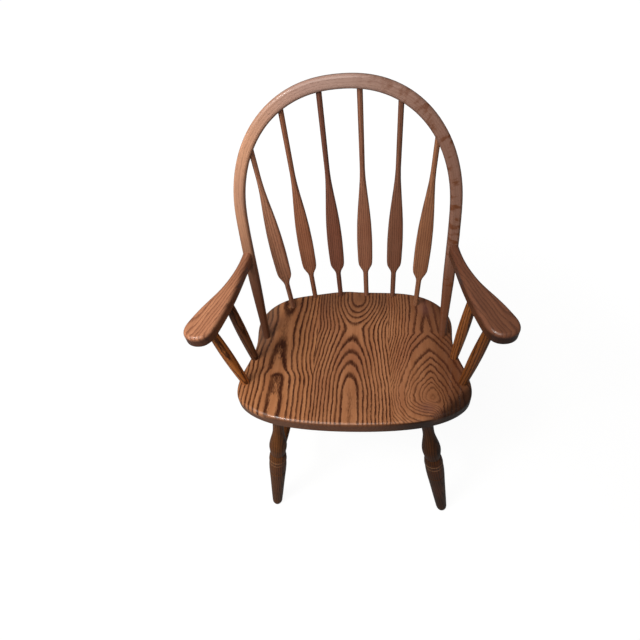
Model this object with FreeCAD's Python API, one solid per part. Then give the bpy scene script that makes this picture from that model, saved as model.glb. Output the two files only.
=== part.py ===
import FreeCAD, Part
import math
import os

# Bow-back windsor armchair in stained oak: a saddled seat glued up from three boards,
# a bent bow with six arrow spindles, two sawn arms on turned posts, and four turned
# legs joined by an H of stretchers. Every stick is a round tenon in a bored socket.
#
# Millimetres. X is to the sitter's left and right, Y is front (-) to back (+), Z is up.
# The chair is drawn with y = 0 on the line of the bow's feet, and is moved at the end
# so that its origin is on the floor under the middle of the whole chair.

# Seat
seat_height = 432.0
seat_tilt = 3.0
seat_thickness = 32.0
seat_half_width = 263.0
seat_widest_y = -154.0
seat_waist_half_width = 241.0
seat_waist_y = -22.0
seat_shoulder_y = 46.0
seat_shoulder_swell = 5.0
seat_back_y = 167.0
seat_front_y = -253.5
seat_joint_x = 89.0
seat_top_round = 8.0
seat_bottom_round = 6.0

# Saddle: the shallow dish cut into the seat in front of the spindles
saddle_depth = 9.0
saddle_middle_y = -62.0
saddle_length = 186.0
saddle_half_width = 196.0
saddle_widening = 0.16
pommel_height = 5.0
pommel_half_width = 42.0

# Bow: bent to a slightly squared half ellipse on nearly straight sides, all in one plane
bow_lean = 12.0
bow_half_width = 231.5
bow_width = 23.0
bow_thickness = 19.0
bow_edge_round = 6.0
bow_foot_spread = 218.0
bow_foot_width = 16.0
bow_taper_length = 150.0
bow_taper_ease = 0.6
bow_spring = 300.0
bow_rise = 270.3
bow_squareness = 2.21
bow_tenon_radius = 7.0
bow_tenon_length = 24.0

# Arrow spindles: turned, then flattened to a paddle
spindle_seat_places = ((35.0, 150.0), (105.0, 145.0), (163.0, 108.0))
spindle_bow_shares = (0.1641, 0.4914, 0.7995)
spindle_foot_radius = 6.3
spindle_neck_radius = 5.3
spindle_paddle_half_width = 18.0
spindle_thickness = 12.0
spindle_shoulder_start = 84.0
spindle_shoulder_end = 124.0
spindle_paddle_middle = 182.0
spindle_paddle_end = 390.0
spindle_socket_depth = 20.0
spindle_reach_in_bow = 4.0

# Arms: sawn from flat stock, level on the finished chair
arm_height = 213.0
arm_thickness = 27.0
arm_half_spread = 305.0
arm_front_y = -202.0
arm_end_width = 21.0
arm_top_round = 7.0
arm_bottom_round = 4.0

# Arm posts: cigar-shaped turnings between seat and arm
rear_post_seat_inset = 27.0
rear_post_seat_y = -72.0
rear_post_arm_share = 0.386
rear_post_arm_y = -81.0
front_post_seat_inset = 18.0
front_post_seat_y = -144.0
front_post_arm_share = 0.556
front_post_arm_y = -160.0
post_end_radius = 8.8
post_middle_radius = 11.6
post_tenon_radius = 7.0
post_tenon_length = 20.0

# Legs: places are where each leg's centre line meets the seat's underside and the floor
front_leg_seat = (162.0, -215.0)
front_leg_floor = (232.0, -264.0)
rear_leg_seat = (146.0, 72.0)
rear_leg_floor = (204.0, 188.0)
leg_flare_radius = 19.5
leg_neck_radius = 12.8
leg_bulb_radius = 21.4
leg_waist_radius = 17.9
leg_waist_place = 151.0
leg_ring_start = 170.0
leg_bead_end = 184.0
leg_ring_end = 231.0
leg_ring_radius = 21.6
leg_ankle_radius = 13.9
leg_foot_radius = 9.5
leg_foot_length = 16.0
leg_groove_depth = 1.1
leg_groove_half_width = 1.6
leg_tenon_radius = 12.5
leg_tenon_length = 22.0

# Stretchers: two side rails and the cross rail between them
stretcher_drop = 205.0
stretcher_end_radius = 9.0
stretcher_middle_radius = 15.5
stretcher_tenon_length = 22.0
stretcher_straight_end = 8.0
cross_end_radius = 7.0
cross_middle_radius = 13.2
cross_tenon_length = 14.0

# Screws that draw each arm against the bow, under a wooden plug
screw_shank_radius = 2.3
screw_head_radius = 4.4
screw_head_length = 3.0
screw_length = 40.0
screw_inset = 9.5
screw_lift = -2.0
plug_radius = 4.6
plug_length = 5.0

# Fits: glue room round a tenon and below its end
glue_room = 0.05
end_room = 1.0

X_AXIS = FreeCAD.Vector(1, 0, 0)
Z_AXIS = FreeCAD.Vector(0, 0, 1)
FAR = 900.0
TOOL_REACH = 30.0


def point(x, y, z=0.0):
    return FreeCAD.Vector(x, y, z)


def mirrored(places):
    """The same places on the other side of the chair, in reverse order."""
    return [(-x, y) for x, y in reversed(places)]


# Seat, bow and arm planes
seat_placement = FreeCAD.Placement(point(0, 0, seat_height), FreeCAD.Rotation(X_AXIS, -seat_tilt))
bow_placement = FreeCAD.Placement(point(0, 0, seat_height), FreeCAD.Rotation(X_AXIS, 90.0 - bow_lean))


def on_seat(x, y, height=0.0):
    """A place measured on the seat's top, in the chair's own directions."""
    return seat_placement.multVec(point(x, y, height))


def on_bow(x, rise, forward=0.0):
    """A place in the bow's plane: rise runs up the bow, forward is towards the sitter."""
    return bow_placement.multVec(point(x, rise, forward))


arm_underside = seat_height + arm_height
arm_neck_x = bow_half_width - arm_end_width


def rod(start, end, radius):
    """A plain round bar between two places."""
    along = end - start
    return Part.makeCylinder(radius, along.Length, start, along)


def aimed(shape, start, end, face_to=None):
    """Stands a shape made along +Z at start, pointing at end, with its +Y turned to face_to."""
    along = (end - start).normalize()
    if face_to is None:
        turn = FreeCAD.Rotation(Z_AXIS, along)
    else:
        side = face_to.cross(along).normalize()
        turn = FreeCAD.Rotation(side, along.cross(side), along, "ZXY")
    shape.Placement = FreeCAD.Placement(start, turn)
    return shape


def smooth(places):
    """A smooth curve through places given as (along, radius)."""
    curve = Part.BSplineCurve()
    curve.interpolate([point(radius, 0, along) for along, radius in places])
    return curve.toShape()


def straight(start, end):
    return Part.makeLine(point(start[1], 0, start[0]), point(end[1], 0, end[0]))


def turned(stretches):
    """Spins a profile about Z. Each stretch is a list of (along, radius): two places
    make a straight line and more make a smooth curve. Stretches meet end to end."""
    edges = []
    for places in stretches:
        edges.append(straight(*places) if len(places) == 2 else smooth(places))
    first = stretches[0][0]
    last = stretches[-1][-1]
    edges.insert(0, straight((first[0], 0.0), first))
    edges.append(straight(last, (last[0], 0.0)))
    edges.append(straight((last[0], 0.0), (first[0], 0.0)))
    face = Part.Face(Part.Wire(Part.__sortEdges__(edges)))
    return face.revolve(point(0, 0), Z_AXIS, 360.0)


def half_space(placement, upward):
    """A very large block on one side of a plane, for trimming ends flush with it."""
    low = 0.0 if upward else -FAR
    block = Part.makeBox(2 * FAR, 2 * FAR, FAR, point(-FAR, -FAR, low))
    block.Placement = placement
    return block


below_seat_top = half_space(seat_placement, False)
underside_placement = seat_placement.multiply(
    FreeCAD.Placement(point(0, 0, -seat_thickness), FreeCAD.Rotation()))
above_seat_underside = half_space(underside_placement, True)
below_floor = half_space(FreeCAD.Placement(), False)
arm_placement = FreeCAD.Placement(point(0, 0, arm_underside), FreeCAD.Rotation())
above_arm_underside = half_space(arm_placement, True)


def edges_at(solid, level):
    """The edges that lie flat at one height."""
    return [e for e in solid.Edges
            if abs(e.BoundBox.ZMin - level) < 0.01 and abs(e.BoundBox.ZMax - level) < 0.01]


# Seat
def seat_outline():
    """Closed outline of the seat: a shield with a slight waist at the bow's feet."""
    wide = seat_half_width
    deep = seat_back_y - seat_front_y
    shoulder_x = seat_waist_half_width + seat_shoulder_swell
    half = [
        (0.0, seat_back_y),
        (0.373 * wide, seat_back_y - 0.019 * deep),
        (0.696 * wide, seat_back_y - 0.069 * deep),
        (shoulder_x - 0.076 * wide, seat_back_y - 0.157 * deep),
        (shoulder_x, seat_shoulder_y),
        (seat_waist_half_width, seat_waist_y),
        (0.958 * wide, (seat_waist_y + seat_widest_y) / 2.0),
        (wide, seat_widest_y),
        (0.966 * wide, seat_front_y + 0.157 * deep),
        (0.8745 * wide, seat_front_y + 0.100 * deep),
        (0.696 * wide, seat_front_y + 0.0476 * deep),
        (0.384 * wide, seat_front_y + 0.0107 * deep),
        (0.0, seat_front_y),
    ]
    around = half + mirrored(half[1:-1])
    curve = Part.BSplineCurve()
    curve.interpolate([point(x, y) for x, y in around], PeriodicFlag=True)
    return Part.Wire(curve.toShape())


def saddle_floor(x, y):
    """Height of the dish's surface: a bowl that widens to the front, with a pommel."""
    half_width = saddle_half_width - saddle_widening * (y - saddle_middle_y)
    across = x / half_width
    along = (y - saddle_middle_y) / saddle_length
    bowl = -saddle_depth * (1.0 - across * across - along * along)
    forward = min(max(-along, 0.0), 1.2)
    pommel = pommel_height * math.exp(-(x / pommel_half_width) ** 2) * forward * forward
    return bowl + pommel


def saddle_tool():
    """Block above the saddle's surface, to be taken away from the seat."""
    columns = 15
    rows = 15
    reach_x = seat_half_width + TOOL_REACH
    low_y = seat_front_y - TOOL_REACH
    high_y = seat_back_y + TOOL_REACH
    grid = []
    for i in range(columns):
        x = -reach_x + 2.0 * reach_x * i / (columns - 1)
        row = []
        for j in range(rows):
            y = low_y + (high_y - low_y) * j / (rows - 1)
            row.append(point(x, y, saddle_floor(x, y)))
        grid.append(row)
    surface = Part.BSplineSurface()
    surface.interpolate(grid)
    return surface.toShape().extrude(point(0, 0, 2.0 * seat_thickness))


def seat_blank():
    """The glued-up seat before boring, flat on the bench with its top at z = 0."""
    face = Part.Face(seat_outline())
    face.translate(point(0, 0, -seat_thickness))
    blank = face.extrude(point(0, 0, seat_thickness))
    blank = blank.makeFillet(seat_bottom_round, edges_at(blank, -seat_thickness))
    blank = blank.makeFillet(seat_top_round, edges_at(blank, 0.0))
    return blank.cut(saddle_tool())


def seat_boards():
    """Left, centre and right boards, split where the photo shows the glue joints."""
    blank = seat_blank()
    depth = 2.0 * FAR
    cuts = {
        "seat_board_left": (-FAR, -seat_joint_x),
        "seat_board_centre": (-seat_joint_x, seat_joint_x),
        "seat_board_right": (seat_joint_x, FAR),
    }
    boards = {}
    for name, (low, high) in cuts.items():
        slab = Part.makeBox(high - low, depth, depth, point(low, -FAR, -FAR))
        board = blank.common(slab)
        board.Placement = seat_placement.multiply(board.Placement)
        boards[name] = board
    return boards


# Bow
def crown_rise(x, inset):
    """Height up the bow of its crown at x, for the curve that far inside its outer edge."""
    share = min(abs(x) / (bow_half_width - inset), 1.0)
    return (bow_rise - inset) * (1.0 - share ** bow_squareness) ** (1.0 / bow_squareness)


def bow_edge(inset):
    """The bow's outer or inner edge from foot to foot, and its right-hand end."""
    side_x = bow_half_width - inset
    foot_x = bow_foot_spread + bow_foot_width * (0.5 if inset == 0.0 else -0.5)
    below_seat = 0.6 * bow_width
    half = [
        point(foot_x, -below_seat),
        point(foot_x, 0.0),
        point(side_x - bow_taper_ease, bow_taper_length),
    ]
    steps = 9
    for i in range(steps):
        angle = math.pi / 2.0 * i / steps
        x = side_x * math.cos(angle) ** (2.0 / bow_squareness)
        half.append(point(x, bow_spring + crown_rise(x, inset)))
    crown = point(0.0, bow_spring + bow_rise - inset)
    curve = Part.BSplineCurve()
    curve.interpolate(half + [crown] + [point(-p.x, p.y) for p in reversed(half)])
    return curve.toShape(), half[0]


def bow_centre_rise(x):
    """How far up the bow its centre line is at a given x, on the crown."""
    return bow_spring + crown_rise(x, bow_width / 2.0)


def bow_blank():
    """The bent bow with its edges rounded, trimmed to sit on the seat."""
    outer, outer_end = bow_edge(0.0)
    inner, inner_end = bow_edge(bow_width)
    edges = [outer, inner]
    for sign in (1.0, -1.0):
        outer_corner = point(sign * outer_end.x, outer_end.y)
        inner_corner = point(sign * inner_end.x, inner_end.y)
        edges.append(Part.makeLine(outer_corner, inner_corner))
    face = Part.Face(Part.Wire(Part.__sortEdges__(edges)))
    face.translate(point(0, 0, -bow_thickness / 2.0))
    bow = face.extrude(point(0, 0, bow_thickness))
    flat_edges = edges_at(bow, bow_thickness / 2.0) + edges_at(bow, -bow_thickness / 2.0)
    long_edges = [e for e in flat_edges if e.Length > 2.0 * bow_width]
    bow = bow.makeFillet(bow_edge_round, long_edges)
    bow.Placement = bow_placement
    return bow.cut(below_seat_top)


# Sticks: each is (name, solid, sockets), and a socket is (name of what it enters, tool)
def spindle_profile(length):
    """Half widths up a spindle: round foot, arrow paddle, slim round neck."""
    foot = spindle_foot_radius
    neck = spindle_neck_radius
    wide = spindle_paddle_half_width
    start = spindle_shoulder_start
    end = spindle_shoulder_end
    paddle = spindle_paddle_end - spindle_paddle_middle
    shoulder = end - start
    return [
        [(-spindle_socket_depth, foot), (start, foot)],
        [
            (start, foot),
            (start + 0.25 * shoulder, foot + 0.12 * (wide - foot)),
            (start + 0.55 * shoulder, foot + 0.48 * (wide - foot)),
            (start + 0.80 * shoulder, foot + 0.83 * (wide - foot)),
            (end, 0.956 * wide),
            (spindle_paddle_middle, wide),
            (spindle_paddle_middle + 0.27 * paddle, neck + 0.87 * (wide - neck)),
            (spindle_paddle_middle + 0.45 * paddle, neck + 0.67 * (wide - neck)),
            (spindle_paddle_middle + 0.61 * paddle, neck + 0.43 * (wide - neck)),
            (spindle_paddle_middle + 0.77 * paddle, neck + 0.20 * (wide - neck)),
            (spindle_paddle_end, neck),
        ],
        [(spindle_paddle_end, neck), (length, neck)],
    ]


def spindle(seat_place, bow_share):
    """A spindle from its seat socket to its socket in the bow, and its two sockets.
    The share is how far out along the bow's half width it enters the bow."""
    start = on_seat(*seat_place)
    bow_x = bow_share * (bow_half_width - bow_width / 2.0)
    end = on_bow(bow_x, bow_centre_rise(bow_x))
    along = (end - start).normalize()
    length = (end - start).Length + spindle_reach_in_bow
    stick = turned(spindle_profile(length))
    slab_side = 3.0 * spindle_paddle_half_width
    slab = Part.makeBox(
        slab_side, spindle_thickness, length + 2.0 * spindle_socket_depth,
        point(-slab_side / 2.0, -spindle_thickness / 2.0, -2.0 * spindle_socket_depth))
    foot_low = point(0, 0, -spindle_socket_depth)
    round_foot = rod(foot_low, point(0, 0, spindle_shoulder_start), spindle_foot_radius)
    stick = stick.common(slab).fuse(round_foot).removeSplitter()
    stick = aimed(stick, start, end, FreeCAD.Vector(0, 1, 0))
    tip = start + along * length
    socket_end = start - along * (spindle_socket_depth + end_room)
    seat_hole = rod(socket_end, start + along * TOOL_REACH, spindle_foot_radius + glue_room)
    entry = end - along * (2.0 * bow_width)
    bow_hole = rod(entry, tip + along * end_room, spindle_neck_radius + glue_room)
    return stick, seat_hole, bow_hole


def leg(seat_place, floor_place):
    """A leg from its blind socket in the seat to the floor, and its socket."""
    floor = point(floor_place[0], floor_place[1])
    top = on_seat(seat_place[0], seat_place[1], -seat_thickness)
    length = (top - floor).Length
    flare = leg_flare_radius
    neck = leg_neck_radius
    bulb = leg_bulb_radius
    waist = leg_waist_place
    ring = leg_ring_radius
    groove = leg_groove_half_width
    stretches = [
        [(-0.08 * waist, 1.2 * flare), (0.0, flare), (0.06 * waist, 0.846 * flare),
         (0.132 * waist, 1.1 * neck), (0.265 * waist, neck), (0.404 * waist, 1.047 * neck),
         (0.536 * waist, 1.28 * neck), (0.656 * waist, 0.911 * bulb), (0.775 * waist, bulb),
         (0.881 * waist, 0.953 * bulb), (waist, leg_waist_radius)],
        [(waist, leg_waist_radius), (0.6 * waist + 0.4 * leg_ring_start, 0.94 * ring),
         (leg_ring_start - groove, 0.986 * ring)],
    ]
    grooves = (
        (leg_ring_start, 0.986 * ring, None),
        (leg_bead_end, ring, (leg_ring_start + leg_bead_end) / 2.0),
        (leg_ring_end, ring, (leg_bead_end + leg_ring_end) / 2.0),
    )
    for middle, edge_radius, swell_place in grooves:
        before = (middle - groove, edge_radius)
        bottom = (middle, ring - leg_groove_depth)
        after = (middle + groove, ring)
        if swell_place:
            stretches.append([stretches[-1][-1], (swell_place, 1.025 * ring), before])
        stretches.append([before, bottom])
        stretches.append([bottom, after])
    ankle = (length - leg_foot_length, leg_ankle_radius)
    taper = ankle[0] - leg_ring_end
    stretches += [
        [(leg_ring_end + groove, ring), (leg_ring_end + 0.18 * taper, 0.93 * ring),
         (leg_ring_end + 0.573 * taper, 0.796 * ring), ankle],
        [ankle, (length - 0.44 * leg_foot_length, 0.9 * leg_ankle_radius), (length, leg_foot_radius),
         (length + 0.375 * leg_foot_length, 0.474 * leg_foot_radius)],
    ]
    body = aimed(turned(stretches), top, floor)
    body = body.cut(above_seat_underside).cut(below_floor)
    along = (top - floor).normalize()
    start = top - along * TOOL_REACH
    tenon = rod(start, top + along * leg_tenon_length, leg_tenon_radius)
    socket = rod(start, top + along * (leg_tenon_length + end_room), leg_tenon_radius + glue_room)
    core = tenon.common(above_seat_underside)
    return body.fuse(core).removeSplitter(), socket, top, floor


def arm_post(seat_place, arm_place):
    """A post between seat and arm with a tenon at each end, and its two sockets."""
    start = on_seat(*seat_place)
    end = point(arm_place[0], arm_place[1], arm_underside)
    length = (end - start).Length
    middle = post_middle_radius
    narrow = post_end_radius
    over = narrow
    body = turned([[
        (-over, 0.943 * narrow), (0.0, narrow), (0.25 * length, 0.922 * middle),
        (0.5 * length, middle), (0.75 * length, 0.94 * middle), (length, narrow),
        (length + over, 0.943 * narrow)]])
    body = aimed(body, start, end).cut(below_seat_top).cut(above_arm_underside)
    along = (end - start).normalize()
    low = start - along * post_tenon_length
    high = end + along * post_tenon_length
    peg = rod(low, high, post_tenon_radius)
    bore = post_tenon_radius + glue_room
    seat_hole = rod(low - along * end_room, start + along * TOOL_REACH, bore)
    arm_hole = rod(end - along * TOOL_REACH, high + along * end_room, bore)
    return body.fuse(peg).removeSplitter(), seat_hole, arm_hole


def rail(start, end, start_surface, end_surface, tenon, end_radius, middle_radius):
    """A turned rail between two centre lines. The surfaces are the radii that it enters."""
    along = (end - start).normalize()
    first = start + along * (start_surface - tenon)
    last = end - along * (end_surface - tenon)
    length = (last - first).Length
    plain = tenon + stretcher_straight_end
    swell = middle_radius - end_radius
    quarter = plain + 0.26 * (length / 2.0 - plain)
    half = plain + 0.56 * (length / 2.0 - plain)
    stick = turned([
        [(0.0, end_radius), (plain, end_radius)],
        [(plain, end_radius), (quarter, end_radius + 0.50 * swell), (half, end_radius + 0.88 * swell),
         (length / 2.0, middle_radius), (length - half, end_radius + 0.88 * swell),
         (length - quarter, end_radius + 0.50 * swell), (length - plain, end_radius)],
        [(length - plain, end_radius), (length, end_radius)],
    ])
    stick = aimed(stick, first, last)
    holes = []
    for tip, inward in ((first, along), (last, along * -1.0)):
        deep_end = tip - inward * end_room
        holes.append(rod(deep_end, tip + inward * (tenon + TOOL_REACH), end_radius + glue_room))
    return stick, holes[0], holes[1]


# Arms
def arm_blank(sign):
    """A sawn arm: narrow neck at the bow, swept out to a rounded paddle in front."""
    neck = arm_neck_x
    reach = arm_half_spread - neck
    outer_neck = neck + arm_end_width
    outer_reach = reach - arm_end_width
    front = arm_front_y
    back = bow_width - 0.3 * front
    inner = [
        (neck, back),
        (neck + 0.032 * reach, -0.149 * front),
        (neck + 0.086 * reach, 0.069 * front),
        (neck + 0.143 * reach, 0.312 * front),
        (neck + 0.188 * reach, 0.46 * front),
        (neck + 0.254 * reach, 0.629 * front),
        (neck + 0.34 * reach, 0.807 * front),
    ]
    nose = [
        (neck + 0.444 * reach, 0.936 * front),
        (neck + 0.566 * reach, 0.988 * front),
        (neck + 0.714 * reach, front),
        (neck + 0.873 * reach, 0.978 * front),
        (neck + 0.974 * reach, 0.926 * front),
    ]
    outer = [
        (neck + reach, 0.842 * front),
        (outer_neck + 0.925 * outer_reach, 0.752 * front),
        (outer_neck + 0.789 * outer_reach, 0.639 * front),
        (outer_neck + 0.596 * outer_reach, 0.505 * front),
        (outer_neck + 0.388 * outer_reach, 0.366 * front),
        (outer_neck + 0.211 * outer_reach, 0.203 * front),
        (outer_neck + 0.075 * outer_reach, 0.01 * front),
        (outer_neck + 0.0136 * outer_reach, -0.173 * front),
        (outer_neck, back),
    ]
    curve = Part.BSplineCurve()
    curve.interpolate([point(sign * x, y) for x, y in inner + nose + outer])
    back_edge = Part.makeLine(point(sign * outer_neck, back), point(sign * neck, back))
    face = Part.Face(Part.Wire(Part.__sortEdges__([curve.toShape(), back_edge])))
    slab = face.extrude(point(0, 0, arm_thickness))
    for level, radius in ((0.0, arm_bottom_round), (arm_thickness, arm_top_round)):
        rim = [e for e in edges_at(slab, level) if e.Length > 2.0 * arm_end_width]
        slab = slab.makeFillet(radius, rim)
    slab.Placement = arm_placement
    return slab


def behind_bow_face():
    """Everything behind the plane of the bow's front face."""
    face = bow_placement.multiply(
        FreeCAD.Placement(point(0, 0, bow_thickness / 2.0), FreeCAD.Rotation()))
    return half_space(face, False)


def arm_screw(sign):
    """A screw from the bow's back into the arm's end, its plug, and their holes."""
    height = arm_height + arm_thickness / 2.0 + screw_lift
    rise = height / math.cos(math.radians(bow_lean))
    x = sign * (bow_half_width - screw_inset)
    back = -bow_thickness / 2.0
    plug_back = on_bow(x, rise, back)
    plug_front = on_bow(x, rise, back + plug_length)
    head_front = on_bow(x, rise, back + plug_length + screw_head_length)
    forward = (head_front - plug_front).normalize()
    tip = plug_front + forward * screw_length
    head = rod(plug_front, head_front, screw_head_radius)
    screw = head.fuse(rod(plug_front, tip, screw_shank_radius))
    plug = rod(plug_back, plug_front, plug_radius)
    counterbore = rod(plug_back - forward * plug_length, head_front, plug_radius + glue_room)
    shank_hole = rod(plug_front, tip + forward * end_room, screw_shank_radius + glue_room)
    return screw.removeSplitter(), plug, counterbore, shank_hole


# Assembly
nodes = {}
sides = {"left": -1.0, "right": 1.0}
seat = seat_boards()
seat_holes = []
bow = bow_blank()
bow_holes = []

for sign in sides.values():
    low = on_bow(sign * bow_foot_spread, -bow_tenon_length)
    high = on_bow(sign * bow_foot_spread, bow_tenon_length / 2.0)
    deeper = on_bow(sign * bow_foot_spread, -bow_tenon_length - end_room)
    bow = bow.fuse(rod(low, high, bow_tenon_radius))
    seat_holes.append(rod(deeper, high, bow_tenon_radius + glue_room))
bow = bow.removeSplitter()

spindle_number = 0
spindle_places = list(zip(spindle_seat_places, spindle_bow_shares))
for sign, places in ((-1.0, reversed(spindle_places)), (1.0, spindle_places)):
    for (seat_x, seat_y), bow_share in places:
        spindle_number += 1
        stick, seat_hole, bow_hole = spindle((sign * seat_x, seat_y), sign * bow_share)
        nodes["spindle_%d" % spindle_number] = stick
        seat_holes.append(seat_hole)
        bow_holes.append(bow_hole)

legs = {}
leg_lines = {}
leg_places = {"front": (front_leg_seat, front_leg_floor), "rear": (rear_leg_seat, rear_leg_floor)}
for end, (seat_place, floor_place) in leg_places.items():
    for side, sign in sides.items():
        name = "leg_%s_%s" % (end, side)
        legs[name], socket, top, floor = leg(
            (sign * seat_place[0], seat_place[1]), (sign * floor_place[0], floor_place[1]))
        leg_lines[name] = (top, (floor - top).normalize())
        seat_holes.append(socket)

rail_middles = []
for side in sides:
    ends = []
    for end in ("front", "rear"):
        top, down = leg_lines["leg_%s_%s" % (end, side)]
        ends.append(top + down * stretcher_drop)
    stick, front_hole, rear_hole = rail(
        ends[0], ends[1], leg_ring_radius, leg_ring_radius,
        stretcher_tenon_length, stretcher_end_radius, stretcher_middle_radius)
    legs["leg_front_" + side] = legs["leg_front_" + side].cut(front_hole)
    legs["leg_rear_" + side] = legs["leg_rear_" + side].cut(rear_hole)
    nodes["side_stretcher_" + side] = stick
    rail_middles.append((ends[0] + ends[1]) * 0.5)
cross, left_hole, right_hole = rail(
    rail_middles[0], rail_middles[1], stretcher_middle_radius, stretcher_middle_radius,
    cross_tenon_length, cross_end_radius, cross_middle_radius)
nodes["side_stretcher_left"] = nodes["side_stretcher_left"].cut(left_hole)
nodes["side_stretcher_right"] = nodes["side_stretcher_right"].cut(right_hole)
nodes["cross_stretcher"] = cross
nodes.update(legs)

arm_reach = arm_half_spread - arm_neck_x
post_places = {
    "rear": (
        (seat_half_width - rear_post_seat_inset, rear_post_seat_y),
        (arm_neck_x + rear_post_arm_share * arm_reach, rear_post_arm_y)),
    "front": (
        (seat_half_width - front_post_seat_inset, front_post_seat_y),
        (arm_neck_x + front_post_arm_share * arm_reach, front_post_arm_y)),
}
screws = []
plugs = []
for side, sign in sides.items():
    arm = arm_blank(sign).cut(behind_bow_face())
    for end, (seat_place, arm_place) in post_places.items():
        stick, seat_hole, arm_hole = arm_post(
            (sign * seat_place[0], seat_place[1]), (sign * arm_place[0], arm_place[1]))
        nodes["arm_post_%s_%s" % (end, side)] = stick
        seat_holes.append(seat_hole)
        arm = arm.cut(arm_hole)
    screw, plug, counterbore, shank_hole = arm_screw(sign)
    screws.append(screw)
    plugs.append(plug)
    bow_holes += [counterbore, shank_hole]
    nodes["arm_" + side] = arm.cut(shank_hole)
nodes["arm_screws"] = Part.makeCompound(screws)
nodes["arm_screw_plugs"] = Part.makeCompound(plugs)

nodes["bow"] = bow.cut(Part.makeCompound(bow_holes))
for name, board in seat.items():
    nodes[name] = board.cut(Part.makeCompound(seat_holes))

# The origin goes to the floor under the middle of the whole chair.
whole = Part.makeCompound(list(nodes.values())).optimalBoundingBox(False)
to_origin = point(0.0, -whole.Center.y)

os.makedirs("parts", exist_ok=True)
for name, shape in nodes.items():
    shape.translate(to_origin)
    shape.exportStep("parts/%s.step" % name)
    facts = (name, len(shape.Solids), shape.Volume, shape.isValid())
    print("%-24s solids %d  volume %10.0f  valid %s" % facts)
print("size", round(whole.XLength, 2), round(whole.YLength, 2), round(whole.ZLength, 2))
print("x middle", round(whole.Center.x, 3), "lowest", round(whole.ZMin, 3))
print("moved along y by", round(to_origin.y, 3))
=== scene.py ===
import math

import bpy
import numpy as np
from mathutils import Matrix, Vector


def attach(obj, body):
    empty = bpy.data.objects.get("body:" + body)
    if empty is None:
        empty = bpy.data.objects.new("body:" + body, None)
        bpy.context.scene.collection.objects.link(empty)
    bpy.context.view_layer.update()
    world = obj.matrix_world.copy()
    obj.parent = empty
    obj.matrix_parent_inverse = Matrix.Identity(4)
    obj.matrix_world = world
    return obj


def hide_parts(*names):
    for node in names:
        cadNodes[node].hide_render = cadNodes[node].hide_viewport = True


# Windsor armchair in stained and lacquered oak: every stick and board gets oak cut the way
# that piece is cut from the log, and the six arrow spindles get their eased edges.

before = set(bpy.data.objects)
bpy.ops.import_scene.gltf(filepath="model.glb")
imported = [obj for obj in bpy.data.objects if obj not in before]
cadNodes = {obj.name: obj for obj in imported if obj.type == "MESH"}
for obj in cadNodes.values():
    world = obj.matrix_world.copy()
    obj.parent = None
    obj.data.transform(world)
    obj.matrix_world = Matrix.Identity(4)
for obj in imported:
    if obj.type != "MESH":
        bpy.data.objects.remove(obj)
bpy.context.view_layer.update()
print("frame loaded,", len(cadNodes), "nodes")

# Where the chair's own planes are, in metres: the same sizes as the part's source
chair = {
    "seatHeight": 0.432,        # seat top, on the line of the bow's feet
    "bowFootY": 0.039052,       # that line, seen from the chair's middle
    "seatTilt": math.radians(3.0),
    "bowLean": math.radians(12.0),
    "armUnderside": 0.645,
}

# The bow's outer edge: straight up to the spring, then a superellipse that rises over it
bowShape = {"spring": 0.300, "rise": 0.2703, "halfWidth": 0.2315, "width": 0.023, "power": 2.21}


def onSeat(x, y, height=0.0):
    # a place measured on the seat's top, y to the back
    c, s = math.cos(chair["seatTilt"]), math.sin(chair["seatTilt"])
    return Vector((x, y * c + height * s + chair["bowFootY"], chair["seatHeight"] - y * s + height * c))


def onBow(x, rise, forward=0.0):
    # a place in the bow's leaning plane
    c, s = math.cos(chair["bowLean"]), math.sin(chair["bowLean"])
    return Vector((x, rise * s - forward * c + chair["bowFootY"],
                   chair["seatHeight"] + rise * c + forward * s))


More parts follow.
